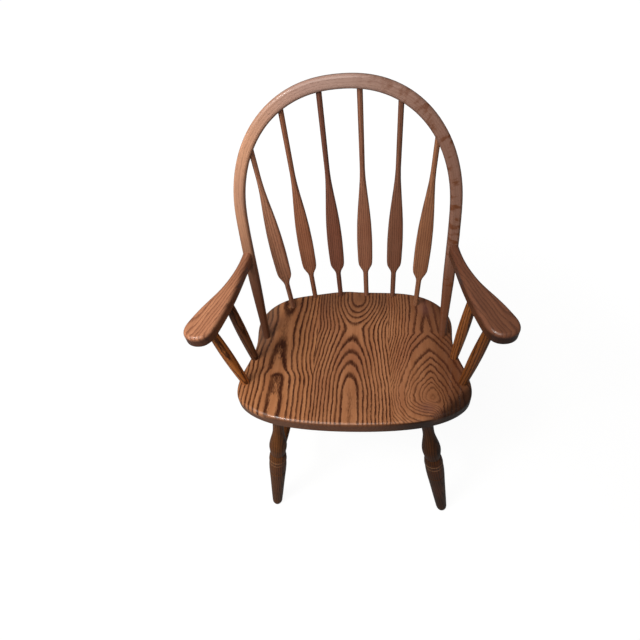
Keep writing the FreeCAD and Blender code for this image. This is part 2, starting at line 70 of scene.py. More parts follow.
class Wire:
    # one socket of a material's nodes: + - * / on it add Math nodes, so a formula reads as written
    def __init__(self, tree, socket):
        self.tree = tree
        self.socket = socket

    def node(self, kind, settings, sockets, output=0):
        new = self.tree.nodes.new(kind)
        for key, value in settings.items():
            setattr(new, key, value)
        for key, value in sockets.items():
            if isinstance(value, Wire):
                self.tree.links.new(value.socket, new.inputs[key])
            else:
                new.inputs[key].default_value = value
        return Wire(self.tree, new.outputs[output])

    def math(self, operation, *values):
        return self.node("ShaderNodeMath", {"operation": operation}, dict(enumerate(values)))

    def __add__(self, other):
        return self.math("ADD", self, other)

    def __radd__(self, other):
        return self.math("ADD", other, self)

    def __sub__(self, other):
        return self.math("SUBTRACT", self, other)

    def __rsub__(self, other):
        return self.math("SUBTRACT", other, self)

    def __mul__(self, other):
        return self.math("MULTIPLY", self, other)

    def __rmul__(self, other):
        return self.math("MULTIPLY", other, self)

    def __truediv__(self, other):
        return self.math("DIVIDE", self, other)

    def __rtruediv__(self, other):
        return self.math("DIVIDE", other, self)

    def root(self):
        return self.math("SQRT", self)

    def fraction(self):
        return self.math("FRACT", self)

    def size(self):
        return self.math("ABSOLUTE", self)

    def power(self, exponent):
        return self.math("POWER", self, exponent)

    def larger(self, other):
        return self.math("MAXIMUM", self, other)

    def smaller(self, other):
        return self.math("MINIMUM", self, other)

    def step(self, low, high):
        # 0 below low, 1 above high, smooth between
        return self.node("ShaderNodeMapRange", {"interpolation_type": "SMOOTHSTEP"},
                         {"Value": self, "From Min": low, "From Max": high})

    def bell(self, middle, width):
        # 1 at middle, 0 further than width from it
        return 1.0 - (self - middle).size().step(0.0, width)

    def other(self, name):
        return Wire(self.tree, self.socket.node.outputs[name])

    def along(self, direction):
        # the part of a place that lies along a fixed direction
        return self.node("ShaderNodeVectorMath", {"operation": "DOT_PRODUCT"},
                         {0: self, 1: tuple(direction)}, "Value")

    def place(self, x, y, z):
        return self.node("ShaderNodeCombineXYZ", {}, {"X": x, "Y": y, "Z": z})

    def noise(self, x, y, z, detail, roughness=0.5):
        # cloudy pattern from 0 to 1 whose lumps are about 1 unit across
        return self.node("ShaderNodeTexNoise", {}, {
            "Vector": self.place(x, y, z), "Scale": 1.0, "Detail": detail, "Roughness": roughness})

    def wave(self, across, along, deep, size, height):
        # gentle swerve of the grain: size is how wide and how long it is, height how much in all
        wide, long = size
        return (self.noise(across / wide, along / long, deep / wide, 1.0) - 0.5) * height

    def blend(self, first, second):
        # self picks between two colours, 0 for the first and 1 for the second
        return self.node("ShaderNodeMix", {"data_type": "RGBA", "clamp_factor": True},
                         {0: self, 6: first, 7: second}, 2)


def stain(red, green, blue):
    # a colour as a photo shows it, 0 to 255, made linear
    return tuple((v / 255 / 12.92) if v <= 10 else ((v / 255 + 0.055) / 1.055) ** 2.4
                 for v in (red, green, blue)) + (1.0,)


def newMaterial(name):
    material = bpy.data.materials.new(name)
    material.use_nodes = True
    tree = material.node_tree
    tree.nodes.clear()
    output = tree.nodes.new("ShaderNodeOutputMaterial")
    shader = tree.nodes.new("ShaderNodeBsdfPrincipled")
    tree.links.new(shader.outputs[0], output.inputs["Surface"])
    coordinates = tree.nodes.new("ShaderNodeTexCoord")
    place = Wire(tree, coordinates.outputs["Object"])
    return material, shader, place


def plug(shader, colour, rough, bump):
    links = colour.tree.links
    links.new(colour.socket, shader.inputs["Base Color"])
    links.new(rough.socket, shader.inputs["Roughness"])
    links.new(bump.socket, shader.inputs["Normal"])


def dress(piece, material):
    if not piece.material_slots:
        piece.data.materials.append(material)
    for slot in piece.material_slots:
        slot.material = material


# What all the oak shares; each piece's own look below may change any of these
oakLook = {
    "pale": stain(178, 121, 83),      # between the rings
    "middle": stain(148, 94, 59),
    "dark": stain(63, 27, 10),        # stain that settled in the open pores
    "cloud": stain(130, 74, 52),      # redder patches
    "cloudShare": 0.4,
    "lineWidth": 0.40,                # share of a ring that is dark
    "lineSoft": (0.5, 1.3),           # where a line fades, in line widths
    "lineStart": 0.06,                # and how sharply it starts, in rings
    "lineDepth": 0.95,
    "lineFaint": 0.72,                # share of that depth where a line is faint
    "lineMore": 0.35,                 # and what comes on top where it isn't
    "poresFaint": 0.7, "poresMore": 0.5,
    "ragged": 0.3,                    # how far pores break a ring's edge, in rings
    "toothRagged": 1.2,               # and coarser teeth, as a share of that
    "wander": 0.2,                    # how far a whole ring drifts, in rings
    "dashDepth": 0.16,                # loose dark specks, and deeper ones inside the lines
    "dashDepthInLines": 0.25,
    "streakShare": 0.6,               # paler and darker wood comes from streaks, the rest from the rings
    # sizes of the patterns, across the grain and along it
    "pores": (0.0009, 0.009),
    "teeth": (0.0022, 0.014),
    "dashes": (0.0006, 0.006),
    "fading": (0.010, 0.05),
    "streaks": (0.012, 0.2),
    "drift": (0.03, 0.09),
    "patches": (0.09, 0.16),
    # between which levels of its pattern each of them comes in
    "dashesSeen": (0.54, 0.72),
    "fadingSeen": (0.3, 0.65),
    "streaksSeen": (0.3, 0.7),
    "patchesSeen": (0.45, 0.75),
    "gloss": 0.34,
    "glossInPores": 0.12, "glossInStreaks": 0.05,
    "sheen": 0.22,                    # how much the bare lacquer mirrors
    "coat": 0.2,
    "coatGloss": 0.1,
    "relief": 0.0003,
    "poreRelief": 0.8, "fadingRelief": 0.15,
}


def oakFinish(shader, rings, along, across, deep, look):
    # rings counts growth rings: a dark porous line starts at every whole number
    look = {**oakLook, **look}

    def grain(pattern, detail, roughness=0.5):
        wide, long = look[pattern]
        return rings.noise(across / wide, along / long, deep / wide, detail, roughness)

    pores = grain("pores", 2.0, 0.6)
    teeth = grain("teeth", 1.0)
    ragged = (pores - 0.5) * look["ragged"] + (teeth - 0.5) * look["ragged"] * look["toothRagged"]
    ringShare = (rings + ragged + (grain("drift", 1.0) - 0.5) * look["wander"]).fraction()
    fadeFrom, fadeTo = (look["lineWidth"] * share for share in look["lineSoft"])
    started = ringShare.step(0.0, look["lineStart"])
    line = (1.0 - ringShare.step(fadeFrom, fadeTo)) * started + ringShare.step(1.0 - look["lineStart"], 1.0)
    uneven = grain("fading", 3.0, 0.6)
    strength = look["lineFaint"] + uneven.step(*look["fadingSeen"]) * look["lineMore"]
    strength = line * strength * look["lineDepth"]
    dashes = grain("dashes", 1.0, 0.6).step(*look["dashesSeen"])
    dashDepth = look["dashDepth"] + line * look["dashDepthInLines"]
    darkness = strength * (look["poresFaint"] + pores * look["poresMore"]) + dashes * dashDepth
    tone = grain("streaks", 2.0, 0.6)
    paleness = tone.step(*look["streaksSeen"]) * look["streakShare"] + ringShare * (1.0 - look["streakShare"])
    cloud = grain("patches", 1.0).step(*look["patchesSeen"]) * look["cloudShare"]
    ground = cloud.blend(paleness.blend(look["middle"], look["pale"]), look["cloud"])
    colour = darkness.smaller(1.0).blend(ground, look["dark"])
    # colour laid over the grain: stains, and painted shade, painted sheen and painted highlights
    if "stainAndPaintedLight" in look:
        colour = look["stainAndPaintedLight"].blend(colour, look["stainAndPaintedLightTone"])
    # the pores are duller and lie deeper
    rough = look["gloss"] + darkness * look["glossInPores"] + (tone - 0.5) * look["glossInStreaks"]
    height = 1.0 - darkness * look["poreRelief"] + (uneven - 0.5) * look["fadingRelief"]
    bump = colour.node("ShaderNodeBump", {}, {"Height": height, "Distance": look["relief"], "Strength": 1.0})
    plug(shader, colour, rough, bump)
    shader.inputs["Coat Weight"].default_value = look["coat"]
    shader.inputs["Coat Roughness"].default_value = look["coatGloss"]
    shader.inputs["Specular IOR Level"].default_value = look["sheen"]


# Seat boards, flat-sawn, in mm on the seat's own plane: the log's heart lies under each board at
# a depth that rises and falls, and the top cuts its rings in arches.
# Ring number = (root(dx^2 + depth^2) - first) / spacing. A step is (from, to, amount) and a sway
# (its middle, half its length, amount), both along y.
centreBoard = {
    "depth": 28.0, "hump": 31.0, "humpUp": (-180.0, 50.0), "humpDown": (20.0, 135.0),
    "heartX": -1.5, "sways": ((-110.0, 70.0, -2.0),), "steps": ((-40.0, 130.0, 16.0),),
    "wave": (30.0, 45.0), "waveHeight": 5.0,
    "first": 32.2, "spacing": 7.15,
}
leftBoard = {
    "depth": 40.0,
    "depthSteps": ((-190.0, -165.0, 1.5), (-128.0, -98.0, 6.5), (-98.0, -50.0, 2.0),
                   (-50.0, 10.0, 3.0), (60.0, 110.0, -3.2)),
    "heartX": -171.0, "sways": ((-60.0, 90.0, -8.0), (20.0, 50.0, -4.0)), "steps": (),
    "wave": (30.0, 70.0), "waveHeight": 4.0,
    "first": 41.5, "spacing": 8.3,
}
rightBoard = {
    "swirl": (178.0, -185.0),         # the middle of the swirl, x and y
    "steps": ((-150.0, -70.0, 5.0), (5.0, 85.0, 4.0)),
    "longest": 190.0, "rearStretch": 2.2, "frontStretch": 0.73,
    "rearStep": (5.0, 110.0, 5.0),
    "wave": (20.0, 30.0), "calm": 4.0, "restless": 8.0, "restlessTo": (-150.0, -40.0),
    "outer": (-5.0, 8.0),             # x from the swirl where its inner side turns into the outer
    "opens": (-6.0, 22.0),
    "pointedFrom": (-185.0, -130.0), "round": 2.0, "lancet": 0.7,
    "crowdFrom": 38.0, "crowdSoft": 12.0, "crowding": 0.85,
    "innerWidth": 0.82, "outerWidth": 0.14,
    "first": 0.2, "spacing": 9.3,
    "ringSteps": ((12.0, 30.0, 0.8), (58.0, 84.0, -1.2)),
}


def seatPlaces(place):
    c, s = math.cos(chair["seatTilt"]), math.sin(chair["seatTilt"])
    x = place.along((1000.0, 0.0, 0.0))
    low = chair["bowFootY"] * c - chair["seatHeight"] * s
    y = place.along((0.0, 1000.0 * c, -1000.0 * s)) - 1000.0 * low
    lift = chair["bowFootY"] * s + chair["seatHeight"] * c
    z = place.along((0.0, 1000.0 * s, 1000.0 * c)) - 1000.0 * lift
    return x, y, z


def stepped(place, start, steps):
    # start, raised or lowered by each amount between its two places
    level = start
    for low, high, amount in steps:
        level = level + amount * place.step(low, high)
    return level


def belowTop(z, dish=9.0):
    # the dish follows the arches, so only the board's edge cuts deeper into the log
    return (z + dish).smaller(0.0)


def heartRings(look, x, y, z, depth):
    # rings round a heart that lies depth below the top, sways left and right, and waves
    heartX = look["heartX"]
    for middle, width, amount in look["sways"]:
        heartX = heartX + amount * y.bell(middle, width)
    heartX = stepped(y, heartX, look["steps"])
    dx = x - heartX + x.wave(x, y, 0.0, look["wave"], look["waveHeight"])
    depth = depth - belowTop(z)
    return ((dx * dx + depth * depth).root() - look["first"]) / look["spacing"]


def centreRings(x, y, z):
    look = centreBoard
    hump = y.step(*look["humpUp"]) * (1.0 - y.step(*look["humpDown"]))
    return heartRings(look, x, y, z, look["depth"] + look["hump"] * hump)


def leftRings(x, y, z):
    look = leftBoard
    return heartRings(look, x, y, z, stepped(y, look["depth"], look["depthSteps"]))


def rightRings(x, y, z):
    # arches nested about a small swirl near the front: (e^p + h^p)^(1/p), lancet on the
    # outer side, round on the inner, where the rings crowd together
    look = rightBoard
    swirlX, swirlY = look["swirl"]
    fromSwirl = y - swirlY
    behind = fromSwirl.larger(0.0).smaller(look["longest"])
    rear = stepped(y, behind / look["rearStretch"], (look["rearStep"],))
    restless = (1.0 - y.step(*look["restlessTo"])) * look["restless"] + look["calm"]
    wide, long = look["wave"]
    wave = (x.noise(x / wide, y / long, 0.0, 2.0) - 0.5) * restless
    dx = x - stepped(y, swirlX, look["steps"]) + wave
    outer = dx.step(*look["outer"])
    # on the outer side the rings don't close but run out over the front edge
    front = fromSwirl.smaller(0.0) / -look["frontStretch"] * (1.0 - dx.step(*look["opens"]))
    pointed = outer.larger(y.step(*look["pointedFrom"]))
    power = look["round"] - look["lancet"] * pointed
    far = (dx.size() - look["crowdFrom"]).larger(0.0)
    crowded = far * far / (far + look["crowdSoft"]) * look["crowding"] * (1.0 - outer)
    e = dx.size() * (look["innerWidth"] + look["outerWidth"] * outer) + crowded
    h = rear + front - belowTop(z)
    r = (e.power(power) + h.power(power)).power(1.0 / power)
    return stepped(r, r / look["spacing"], look["ringSteps"]) - look["first"]


# Where stain gathers on the seat, and where painted shade and painted sheen lie on it: pairs of places
# between which each fades in, and its share
seatStainAndShade = {
    "edge": stain(84, 50, 34),        # darker edges: stain soaked into the end grain at the front, and painted shade down the sides and the front's rounding
    "rightEdge": stain(34, 18, 10),   # painted shade, darkest towards the right front corner
    "sides": (-15.0, -9.5),
    "front": (-238.0, -226.0), "frontSides": (-4.0, -1.2),
    "rightwards": (10.0, 150.0),
    "edgeShare": 0.8, "rightEdgeShare": 0.17, "linesLost": 0.7,
    # painted shade towards the rear
    "rear": (10.0, 140.0), "centreRear": 0.45, "rightRear": 0.3,
    "shade": stain(84, 44, 24),       # painted shade towards the right rim
    "shadeX": (110.0, 235.0), "shadeShare": 0.7,
    # painted shade in the right front corner
    "corner": (368.0, 425.0), "cornerShare": 0.93,
    "paintedSheen": stain(112, 84, 68),      # painted greyish sheen beside and behind the left foot of the bow
    "paintedSheenX": (-225.0, -180.0), "paintedSheenY": (-90.0, 0.0), "paintedSheenShare": 0.6,
    "patch": stain(104, 64, 56),      # purplish stain by the swirl and behind it
    "patches": (((165.0, 38.0), (-210.0, 32.0)), ((180.0, 30.0), (92.0, 45.0))), "patchShare": 0.6,
    "fanX": (145.0, 180.0), "fanY": (-120.0, -60.0), "fanShare": 0.35,
    "heartX": (172.0, 34.0), "heartY": (-184.0, 50.0), "heartShare": 0.8,
}


def seatEdgeStainAndShade(x, y, z):
    # how far the edge's stain and painted shade cover, what they leave of the lines, and their tone
    look = seatStainAndShade
    front = 1.0 - y.step(*look["front"])
    edge = 1.0 - z.step(*look["sides"])
    edge = edge.larger(front * (1.0 - z.step(*look["frontSides"])))
    rightwards = x.step(*look["rightwards"])
    covered = edge * (look["edgeShare"] + look["rightEdgeShare"] * rightwards)
    return covered, 1.0 - look["linesLost"] * edge, rightwards.blend(look["edge"], look["rightEdge"])


def leftStainShadeAndSheen(x, y, z):
    look = seatStainAndShade
    covered, lines, tone = seatEdgeStainAndShade(x, y, z)
    # painted sheen beside the bow's left foot
    paintedSheen = (1.0 - x.step(*look["paintedSheenX"])) * y.step(*look["paintedSheenY"])
    return covered.larger(paintedSheen * look["paintedSheenShare"]), lines, covered.blend(look["paintedSheen"], tone)


def centreStainAndShade(x, y, z):
    covered, lines, tone = seatEdgeStainAndShade(x, y, z)
    # painted shade towards the rear
    return covered.larger(y.step(*seatStainAndShade["rear"]) * seatStainAndShade["centreRear"]), lines, tone


def rightStainAndShade(x, y, z):
    look = seatStainAndShade
    covered, lines, tone = seatEdgeStainAndShade(x, y, z)
    # lines fade inside the crowded fan by the swirl
    fan = (1.0 - x.step(*look["fanX"])) * (1.0 - y.step(*look["fanY"])) * look["fanShare"]
    heart = x.bell(*look["heartX"]) * y.bell(*look["heartY"]) * look["heartShare"]
    lines = lines * (1.0 - fan.larger(heart))
    first, second = (x.bell(*atX) * y.bell(*atY) for atX, atY in look["patches"])
    patch = first.larger(second)
    # painted shade in the right front corner
    covered = covered.larger((x - y).step(*look["corner"]) * look["cornerShare"])
    tone = patch.blend(covered.blend(look["shade"], tone), look["patch"])
    # painted shade towards the right rim and towards the rear
    shade = x.step(*look["shadeX"]) * look["shadeShare"] + y.step(*look["rear"]) * look["rightRear"]
    return covered.larger(shade.larger(patch * look["patchShare"])), lines, tone


seatLook = {"coat": 0.5}              # a fuller lacquer than on the sticks
leftLook = dict(seatLook, pale=stain(186, 126, 84), middle=stain(155, 98, 61), cloudShare=0.35)
seatBoards = {
    "left": (leftRings, leftStainShadeAndSheen, leftLook),
    "centre": (centreRings, centreStainAndShade, seatLook),
    "right": (rightRings, rightStainAndShade, dict(seatLook, lineWidth=0.35)),
}
for board, (boardRings, boardStainAndShade, look) in seatBoards.items():
    node = "seat_board_" + board
    material, shader, place = newMaterial(node + "_oak")
    x, y, z = seatPlaces(place)
    covered, lines, tone = boardStainAndShade(x, y, z)
    # stain, painted shade and painted sheen over the grain
    look = dict(look, lineDepth=lines, stainAndPaintedLight=covered, stainAndPaintedLightTone=tone)
    oakFinish(shader, boardRings(x, y, z), y * 0.001, x * 0.001, z * 0.001, look)
    dress(cadNodes[node], material)
print("seat boards dressed")


stickWave = {"size": (0.02, 0.07), "height": 0.003}


# A stick's oak: along its centre line, and across it two ways. The log's heart lies away by grain's
# heart (x towards the viewer's right, y to the front) and drifts by its slope along the stick.
def stickOak(name, start, end, grain, look):
    axis = (end - start).normalized()
    right = Vector((0.0, 1.0, 0.0)).cross(axis)
    if right.length < 0.2:            # a stick that runs from front to back
        right = Vector((1.0, 0.0, 0.0))
    right.normalize()
    front = right.cross(axis).normalized()
    material, shader, place = newMaterial(name)
    along = place.along(axis) - start.dot(axis)
    across = place.along(right) - start.dot(right)
    deep = place.along(front) - start.dot(front)
    dx = across - grain["heart"][0] + along * grain["slope"][0]
    dy = deep - grain["heart"][1] + along * grain["slope"][1]
    wave = along.wave(across, along, deep, **stickWave)
    rings = ((dx * dx + dy * dy).root() + wave) / grain["spacing"]
    if "paintedGlintRings" in look:
        # painted highlights on the turned rings, at these distances below the stick's top
        fromTop = (end - start).length - along
        paintedGlint = 0.0
        for below in look["paintedGlintRings"]:
            paintedGlint = paintedGlint + fromTop.bell(below, look["paintedGlintWidth"]) * look["paintedGlintShare"]
        look = dict(look, stainAndPaintedLight=paintedGlint, stainAndPaintedLightTone=look["paintedGlint"])
    oakFinish(shader, rings, along, across, deep, look)
    return material


# Arrow spindles: round foot, flattened paddle, slim neck. Section at s along the stick:
# x = w(s) cos(a)^e, y = min(w, half thickness) sin(a)^e with the corners eased by e.
spindles = {
    "seatPlaces": ((0.035, 0.150), (0.105, 0.145), (0.163, 0.108)),
    "bowXs": (0.0361, 0.1081, 0.1759),
    "halfThickness": 0.006,
    "flatFrom": 0.082, "flatOver": 0.006,
    "ease": 0.55, "easeOver": 0.9,    # how square the paddle's corners get, and how soon
    # half width in mm at each place along the stick
    "profile": ((0.0, 6.3), (84.0, 6.3), (94.0, 7.7), (106.0, 11.9), (116.0, 16.0), (124.0, 17.2),
                (140.0, 17.8), (182.0, 18.0), (238.2, 16.35), (275.6, 13.8), (308.9, 10.8),
                (342.2, 7.8), (365.0, 6.1), (390.0, 5.3), (700.0, 5.3)),
    # rows of points: from, to and how many, then the neck's up to the bow
    "rows": ((-0.012, 0.080, 14), (0.084, 0.128, 34), (0.132, 0.400, 90)),
    "neckFrom": 0.406, "neckRows": 24, "shortOfBow": 0.004,
    "around": 48,
}


def smoothThrough(places, at):
    # cubic through the given places, with level-headed slopes so that it never overshoots
    xs = np.array([p[0] for p in places])
    ys = np.array([p[1] for p in places])
    steps = np.diff(ys) / np.diff(xs)
    slopes = np.zeros(len(xs))
    before, after = steps[:-1], steps[1:]
    same = before * after > 0
    slopes[1:-1] = np.where(same, 2 * before * after / np.where(same, before + after, 1.0), 0.0)
    k = np.clip(np.searchsorted(xs, at) - 1, 0, len(xs) - 2)
    h = xs[k + 1] - xs[k]
    t = (at - xs[k]) / h
    return ((2 * t**3 - 3 * t**2 + 1) * ys[k] + (t**3 - 2 * t**2 + t) * h * slopes[k]
            + (3 * t**2 - 2 * t**3) * ys[k + 1] + (t**3 - t**2) * h * slopes[k + 1])


def layRings(name, rings):
    # closes rows of points, each a ring round a stick, into one smooth solid with both ends shut
    rows, around = rings.shape[:2]
    points = np.concatenate([rings.reshape(-1, 3), rings[0].mean(0)[None], rings[-1].mean(0)[None]])
    i, j = np.meshgrid(np.arange(rows - 1), np.arange(around), indexing="ij")
    n = (j + 1) % around
    quads = np.stack([i * around + j, i * around + n, (i + 1) * around + n, (i + 1) * around + j], -1)
    j = np.arange(around)
    n = (j + 1) % around
    low = np.stack([np.full(around, rows * around), n, j], -1)
    top = (rows - 1) * around
    high = np.stack([np.full(around, rows * around + 1), top + j, top + n], -1)
    mesh = bpy.data.meshes.new(name)
    mesh.from_pydata(points.tolist(), [], quads.reshape(-1, 4).tolist() + low.tolist() + high.tolist())
    mesh.polygons.foreach_set("use_smooth", np.ones(len(mesh.polygons), dtype=bool))
    mesh.update()
    piece = bpy.data.objects.new(name, mesh)
    bpy.context.scene.collection.objects.link(piece)
    return piece


def spindleEnds(seatPlace, bowX, side):
    # the bow's middle line at bowX, by its superellipse
    start = onSeat(side * seatPlace[0], seatPlace[1])
    inset = bowShape["width"] / 2
    share = (bowX / (bowShape["halfWidth"] - inset)) ** bowShape["power"]
    rise = bowShape["spring"] + (bowShape["rise"] - inset) * (1 - share) ** (1 / bowShape["power"])
    return start, onBow(side * bowX, rise)


def makeSpindle(name, start, end):
    look = spindles
    axis = (end - start).normalized()
    sideways = np.array(Vector((0.0, 1.0, 0.0)).cross(axis).normalized())
    facing = np.cross(np.array(axis), sideways)
    rows = [np.linspace(*row) for row in look["rows"]]
    rows.append(np.linspace(look["neckFrom"], (end - start).length - look["shortOfBow"], look["neckRows"]))
    s = np.concatenate(rows)
    lastPlace = look["profile"][-1][0]
    halfWidth = smoothThrough(look["profile"], np.clip(s * 1000, 0.0, lastPlace - 1.0)) / 1000
    thin = look["halfThickness"]
    flat = np.clip((s - look["flatFrom"]) / look["flatOver"], 0, 1)
    halfDeep = np.where(halfWidth > thin, halfWidth * (1 - flat) + thin * flat, halfWidth)
    halfDeep = np.minimum(halfDeep, halfWidth)
    ease = 1.0 - look["ease"] * np.clip((halfWidth / halfDeep - 1.0) / look["easeOver"], 0, 1)
    angle = np.linspace(0, 2 * np.pi, look["around"], endpoint=False)
    cosine, sine = np.cos(angle), np.sin(angle)
    wide = np.sign(cosine) * np.abs(cosine) ** ease[:, None]
    deep = np.sign(sine) * np.abs(sine) ** ease[:, None]
    centre = np.array(start) + s[:, None] * np.array(axis)
    rings = (centre[:, None, :] + (halfWidth[:, None] * wide)[..., None] * sideways
             + (halfDeep[:, None] * deep)[..., None] * facing)
    return layRings(name, rings)


spindleLook = {"lineDepth": 0.42, "lineWidth": 0.4, "dashes": (0.0012, 0.003)}
# pale, middle and dark tones, from the viewer's left
spindleTones = (
    (stain(186, 132, 102), stain(154, 106, 82), stain(92, 54, 38)),
    (stain(170, 112, 82), stain(138, 90, 66), stain(84, 48, 34)),
    (stain(138, 88, 68), stain(110, 70, 56), stain(68, 38, 28)),
    (stain(164, 112, 86), stain(134, 90, 70), stain(80, 48, 36)),
    (stain(142, 96, 74), stain(116, 78, 60), stain(70, 42, 32)),
    (stain(168, 116, 84), stain(140, 94, 68), stain(86, 52, 36)),
)
# each spindle's heart lies a step further from the last one's
spindleGrain = {"heart": (0.02, 0.05), "step": (0.009, -0.011), "slope": (0.02, 0.03), "spacing": 0.0046}


def grainOfSpindle(number, side):
    heart, step, slope = spindleGrain["heart"], spindleGrain["step"], spindleGrain["slope"]
    return dict(spindleGrain, heart=(heart[0] + step[0] * number, heart[1] + step[1] * number),
                slope=(slope[0] * side, slope[1]))


# side, and which of the pair counted from the middle
spindleOrder = ((-1, 2), (-1, 1), (-1, 0), (1, 0), (1, 1), (1, 2))
for number, (side, k) in enumerate(spindleOrder, start=1):
    start, end = spindleEnds(spindles["seatPlaces"][k], spindles["bowXs"][k], side)
    node = "spindle_%d" % number
    piece = makeSpindle("arrow_" + node, start, end)
    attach(piece, "root")
    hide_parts(node)
    pale, middle, dark = spindleTones[number - 1]
    look = dict(spindleLook, pale=pale, middle=middle, dark=dark)
    dress(piece, stickOak(node + "_oak", start, end, grainOfSpindle(number, side), look))
print("spindles made")

# The other sticks: x and y of their ends, in metres from the line of the bow's feet
stickEnds = {
    "postOnSeat": {"front": (0.245, -0.144), "rear": (0.236, -0.072)},
    "postUnderArm": {"front": (0.263, -0.160), "rear": (0.247, -0.081)},
    "legOnFloor": {"front": (0.232, -0.264), "rear": (0.204, 0.188)},
    "legOnSeat": {"front": (0.162, -0.215), "rear": (0.146, 0.072)},
    "legTop": -0.032,                 # from the seat's top
    "railBelowLegTop": 0.205,
}
sticks = {}
for side, sign in (("left", -1), ("right", 1)):
    for end in ("front", "rear"):
        seatX, seatY = stickEnds["postOnSeat"][end]
        armX, armY = stickEnds["postUnderArm"][end]
        top = Vector((sign * armX, armY + chair["bowFootY"], chair["armUnderside"]))
        sticks["arm_post_%s_%s" % (end, side)] = (onSeat(sign * seatX, seatY), top)
    for end in ("front", "rear"):
        floorX, floorY = stickEnds["legOnFloor"][end]
        seatX, seatY = stickEnds["legOnSeat"][end]
        foot = Vector((sign * floorX, floorY + chair["bowFootY"], 0.0))
        sticks["leg_%s_%s" % (end, side)] = (foot, onSeat(sign * seatX, seatY, stickEnds["legTop"]))
for side in ("left", "right"):
    ends = []
    for end in ("front", "rear"):
        foot, top = sticks["leg_%s_%s" % (end, side)]
        ends.append(top + (foot - top).normalized() * stickEnds["railBelowLegTop"])
    sticks["side_stretcher_" + side] = tuple(ends)
leftRail, rightRail = sticks["side_stretcher_left"], sticks["side_stretcher_right"]
sticks["cross_stretcher"] = ((leftRail[0] + leftRail[1]) / 2, (rightRail[0] + rightRail[1]) / 2)

postLook = {"dark": stain(60, 30, 14), "sheen": 0.15, "coat": 0.3, "lineWidth": 0.3}
# each post's own pale and middle tones
postTones = {
    "arm_post_front_left": (stain(212, 130, 62), stain(160, 90, 40)),
    "arm_post_rear_left": (stain(130, 84, 54), stain(100, 62, 40)),
    "arm_post_front_right": (stain(134, 80, 38), stain(108, 60, 26)),
    "arm_post_rear_right": (stain(158, 96, 48), stain(128, 76, 38)),
}
stretcherLook = {"pale": stain(118, 72, 38), "middle": stain(94, 56, 28), "dark": stain(52, 28, 14),
                 "sheen": 0.1, "coat": 0.22, "lineDepth": 0.6}
# the legs' turned rings carry painted highlights
legLook = dict(stretcherLook, paintedGlint=stain(176, 136, 104), paintedGlintRings=(0.1725, 0.1865),
               paintedGlintWidth=0.0019, paintedGlintShare=0.45)
# the right legs in darker tones: painted shade on the side away from the light
shadedRightLegLook = dict(legLook, pale=stain(78, 45, 22), middle=stain(60, 34, 16), dark=stain(34, 18, 9))
# sticks next to each other are cut from different places in the log
stickGrain = {"heart": (0.03, 0.04), "shift": 0.007, "shifts": 5, "slope": (0.02, 0.015), "spacing": 0.005}


def stickLook(node):
    if node in postTones:
        pale, middle = postTones[node]
        return dict(postLook, pale=pale, middle=middle)
    if node.startswith("leg"):
        return shadedRightLegLook if node.endswith("right") else legLook
    return stretcherLook


for number, (node, (start, end)) in enumerate(sticks.items()):
    shift = stickGrain["shift"] * (number % stickGrain["shifts"])
    heartX, heartY = stickGrain["heart"]
    grain = dict(stickGrain, heart=(heartX + shift, heartY - shift))
    dress(cadNodes[node], stickOak(node + "_oak", start, end, grain, stickLook(node)))
print("posts, legs and stretchers dressed")

# Bent bow: g = ((x/half width)^p + (v/rise)^p)^(1/p) is 1 on its outer edge, with v the rise above
# the spring; depth into the wood is r (1/g - 1), and the length runs from the crown.
bowLook = {
    "cloud": stain(166, 128, 114), "dark": stain(116, 80, 64), "lineDepth": 0.22,
    "lineWidth": 0.3, "ragged": 0.5, "coat": 0.36, "coatGloss": 0.09,
}
bowGrain = {
    "middleRadius": 0.255, "wave": (0.02, 0.08), "waveHeight": 0.004,
    "heart": (-0.03, 0.05), "slope": 0.02, "spacing": 0.0034,
}
bowStainAndLight = {
    # painted light: paler and warmer on the left where the light falls, and a greyer painted reflection over
    # the top; pale and middle tones for both
    "paintedLit": (stain(206, 154, 122), stain(190, 138, 106)),
    "sheenGrey": (stain(173, 142, 130), stain(161, 129, 115)),
    "sheenGreyFrom": (-0.2, -0.04),
    "low": stain(84, 46, 28),         # its legs are darker
    "lowUpTo": (0.10, 0.42),
    "right": stain(106, 61, 36),      # and painted shade over the whole right side
    "rightFrom": (-0.1, 0.1),
    # how far the painted shade on the right shoulder reaches, and its share
    "shoulder": (-0.02, 0.24), "shoulderShare": 0.68,
    # dark curls cross the grain on the right shoulder: how wide, slanted and long they are
    "curl": (0.02, 0.03, 0.011), "curlSeen": (0.48, 0.68),
    "curlFrom": (0.0, 0.10), "curlShare": 0.4,
    "share": 0.93,
}


